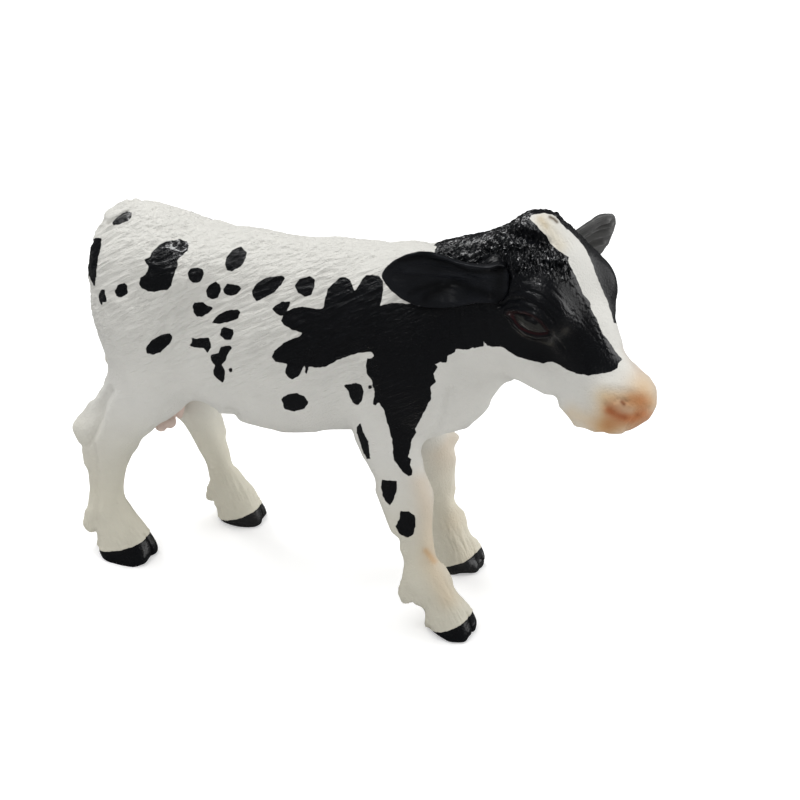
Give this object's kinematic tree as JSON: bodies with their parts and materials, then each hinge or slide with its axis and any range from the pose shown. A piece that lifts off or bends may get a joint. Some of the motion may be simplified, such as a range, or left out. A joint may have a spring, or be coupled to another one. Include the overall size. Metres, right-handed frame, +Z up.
{
  "type": "calf figurine",
  "caption": "Small solid plastic figurine of a standing black and white spotted calf with its head turned to its right, painted by hand; it stands on its four hooves.",
  "frame": {"origin": "middle of the bounding box at the level of the hooves' soles", "axes": "+X from the hocks to the nose, +Y to the calf's left, +Z up"},
  "size_m": [0.0714, 0.0182, 0.0519],
  "materials": {
    "white_pvc": "satin white PVC with black painted spots",
    "black_paint": "glossy black paint on PVC",
    "pink_pvc": "satin PVC sprayed pale pink"
  },
  "bodies": {
    "root": {"torso": "white_pvc", "head": "white_pvc", "ear_right": "black_paint", "ear_left": "black_paint", "fore_leg_right": "white_pvc", "fore_leg_left": "white_pvc", "hind_leg_right": "white_pvc", "hind_leg_left": "white_pvc", "tail": "white_pvc", "udder": "pink_pvc"}
  },
  "joints": []
}
